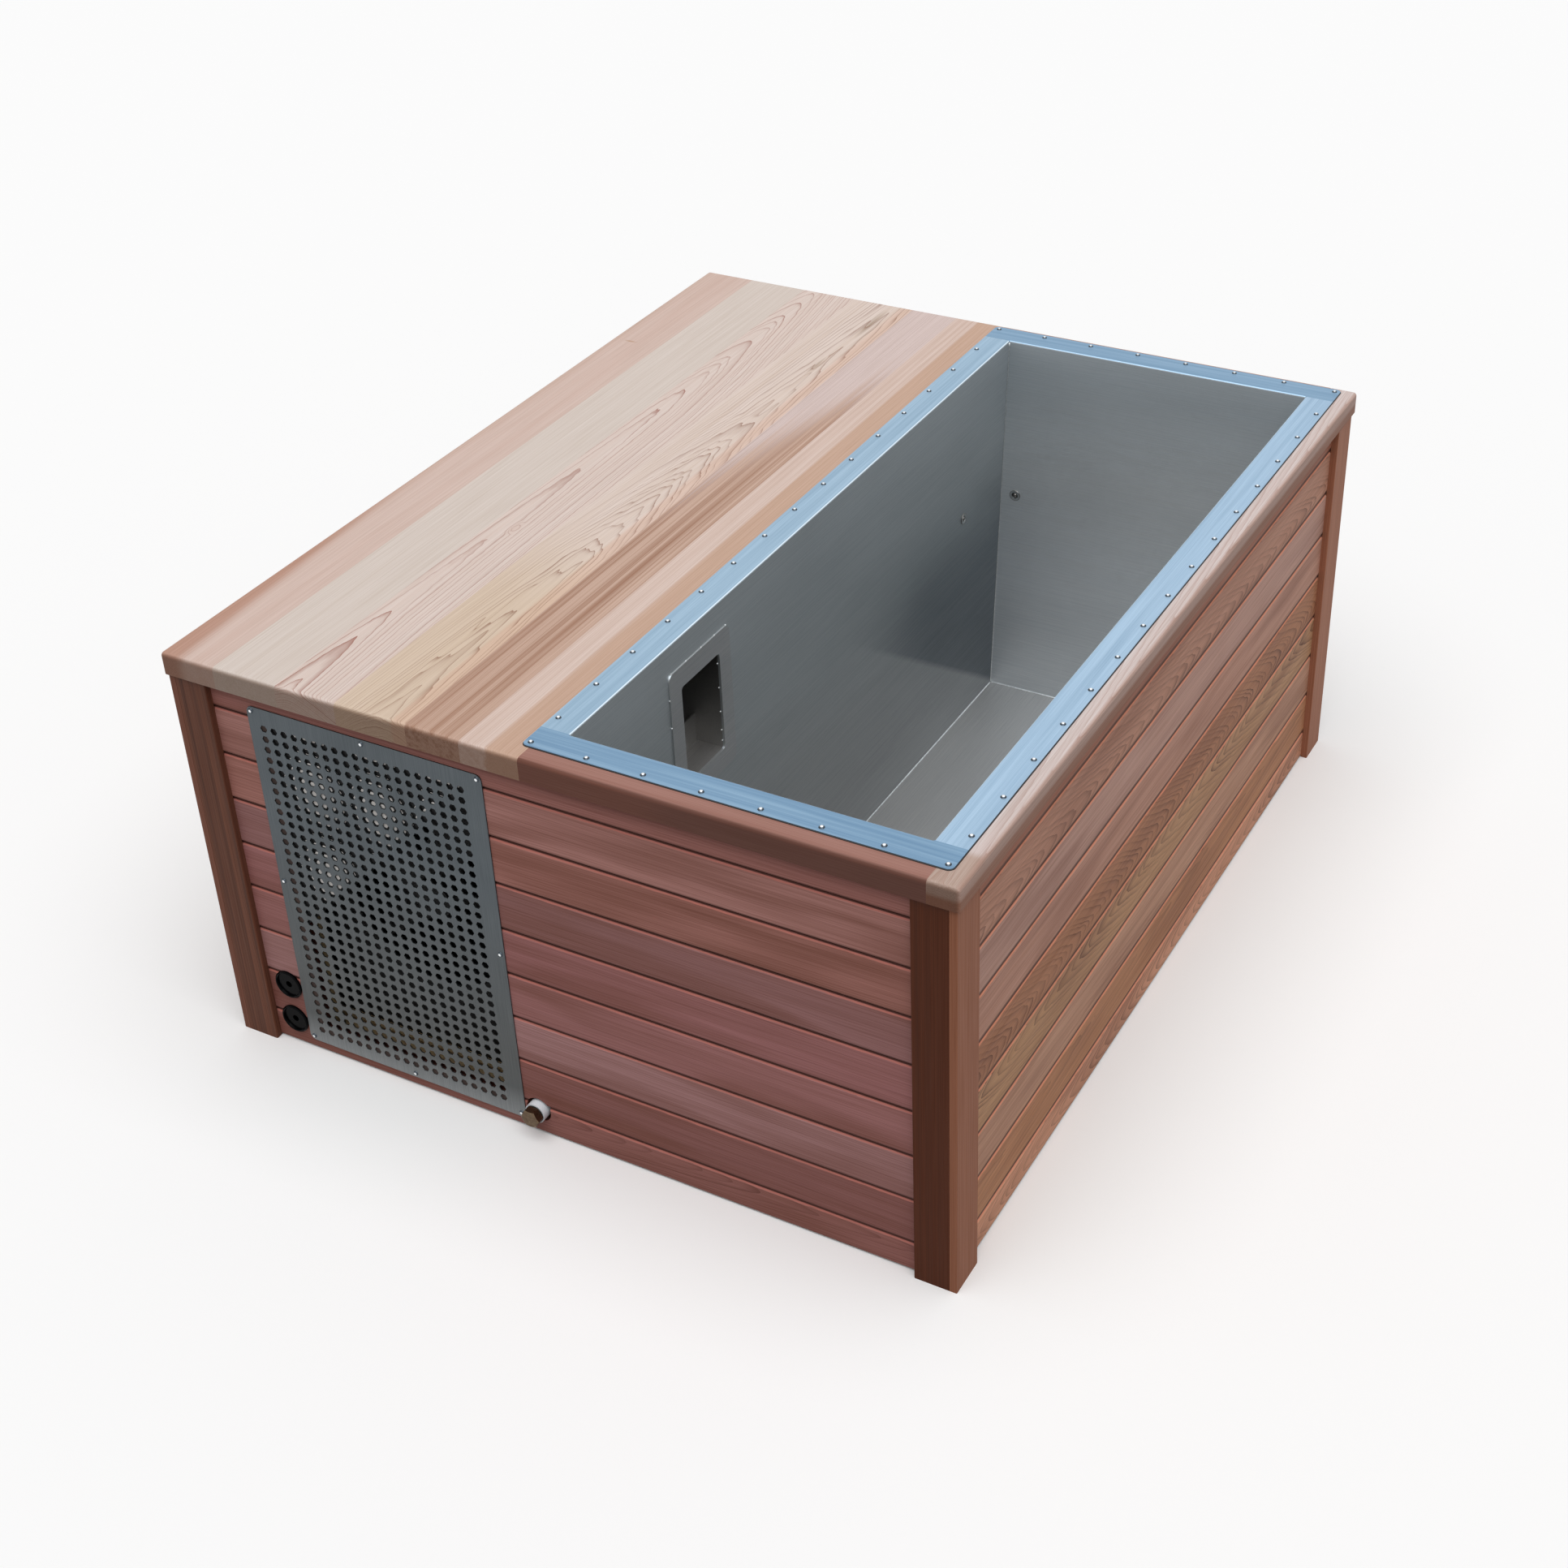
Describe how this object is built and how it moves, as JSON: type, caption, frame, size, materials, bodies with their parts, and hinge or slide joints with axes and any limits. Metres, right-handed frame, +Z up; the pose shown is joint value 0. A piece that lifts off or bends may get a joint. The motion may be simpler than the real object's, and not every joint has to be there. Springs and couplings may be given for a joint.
{
  "type": "plunge tub in a timber cabinet",
  "caption": "Rectangular stainless-steel soaking basin with a folded, screwed rim, set in a cedar-clad cabinet whose side bay holds a heat pump and circulation pump behind a perforated grille.",
  "frame": {"origin": "on the floor, under the middle of the cabinet's footprint, on the centre bearer's underside", "axes": "+Z up, +X to the right as one faces the grille, the front with the grille and drain plug faces -Y"},
  "size_m": [1.35, 1.6435, 0.7506],
  "materials": {
    "cedar_top": "satin",
    "cedar_cladding": "satin",
    "cedar_trim": "satin",
    "frame_timber": "matte",
    "plywood": "matte",
    "basin_steel": "satin",
    "screw_steel": "polished",
    "grille_steel": "satin",
    "grommet_rubber": "satin",
    "seal_rubber": "matte",
    "drain_plastic": "gloss",
    "plug_metal": "satin",
    "insulation_foam": "matte",
    "case_paint": "satin",
    "fan_plastic": "matte",
    "motor_paint": "satin",
    "coil_aluminium": "matte",
    "compressor_paint": "gloss",
    "exchanger_plastic": "satin",
    "control_plastic": "satin",
    "pump_plastic": "satin",
    "pipe_plastic": "gloss",
    "conduit_plastic": "matte",
    "filter_fleece": "matte"
  },
  "bodies": {
    "cabinet": {"top_board_1": "cedar_top", "top_board_2": "cedar_top", "top_board_3": "cedar_top", "top_board_4": "cedar_top", "top_board_5": "cedar_top", "top_board_6": "cedar_top", "front_rail": "cedar_top", "rear_rail": "cedar_top", "right_rail": "cedar_top", "front_cladding": "cedar_cladding", "rear_cladding": "cedar_cladding", "left_cladding": "cedar_cladding", "right_cladding": "cedar_cladding", "left_trim_front": "cedar_trim", "front_trim_left": "cedar_trim", "left_trim_rear": "cedar_trim", "rear_trim_left": "cedar_trim", "right_trim_front": "cedar_trim", "front_trim_right": "cedar_trim", "right_trim_rear": "cedar_trim", "rear_trim_right": "cedar_trim", "base_bearers": "frame_timber", "frame_posts": "frame_timber", "top_frame_rails": "frame_timber", "rim_battens": "frame_timber", "equipment_deck": "plywood", "basin_left_wall": "basin_steel", "basin_right_wall": "basin_steel", "basin_front_wall": "basin_steel", "basin_rear_wall": "basin_steel", "basin_floor": "basin_steel", "skimmer_frame": "basin_steel", "skimmer_box": "basin_steel", "return_sockets": "basin_steel", "rim_screws": "screw_steel", "grille_screws": "screw_steel", "grille": "grille_steel", "upper_grommet": "grommet_rubber", "lower_grommet": "grommet_rubber", "drain_pipe": "drain_plastic", "foam_insulation": "insulation_foam", "heat_pump_case": "case_paint", "heat_pump_front": "case_paint", "fan_motor": "motor_paint", "pump_motor": "motor_paint", "condenser_coil": "coil_aluminium", "compressor": "compressor_paint", "heat_exchanger": "exchanger_plastic", "control_box": "control_plastic", "pump_housing": "pump_plastic", "suction_pipe": "pipe_plastic", "feed_pipe": "pipe_plastic", "return_pipe": "pipe_plastic", "pump_conduit": "conduit_plastic", "filter_cartridge": "filter_fleece"},
    "seal": {"drain_seal": "seal_rubber"},
    "plug": {"drain_plug": "plug_metal"},
    "fan": {"fan": "fan_plastic"},
    "impeller": {"impeller": "pump_plastic"}
  },
  "joints": [
    {"name": "plug_travel", "type": "slide", "parent": "cabinet", "child": "seal", "axis": [0, -1, 0], "range_m": [0, 0.012]},
    {"name": "plug_turn", "type": "hinge", "parent": "seal", "child": "plug", "pos_m": [-0.071, -0.815, 0.047], "axis": [0, -1, 0], "range_deg": [0, 2160]},
    {"name": "fan_spin", "type": "hinge", "parent": "cabinet", "child": "fan", "pos_m": [-0.3, -0.699, 0.33], "axis": [0, 1, 0], "continuous": true},
    {"name": "impeller_spin", "type": "hinge", "parent": "cabinet", "child": "impeller", "pos_m": [-0.161, -0.14, 0.125], "axis": [0, 1, 0], "continuous": true}
  ],
  "couplings": [
    {"joint": "plug_turn", "follows": "plug_travel", "rad_per_m": 3141.6}
  ]
}
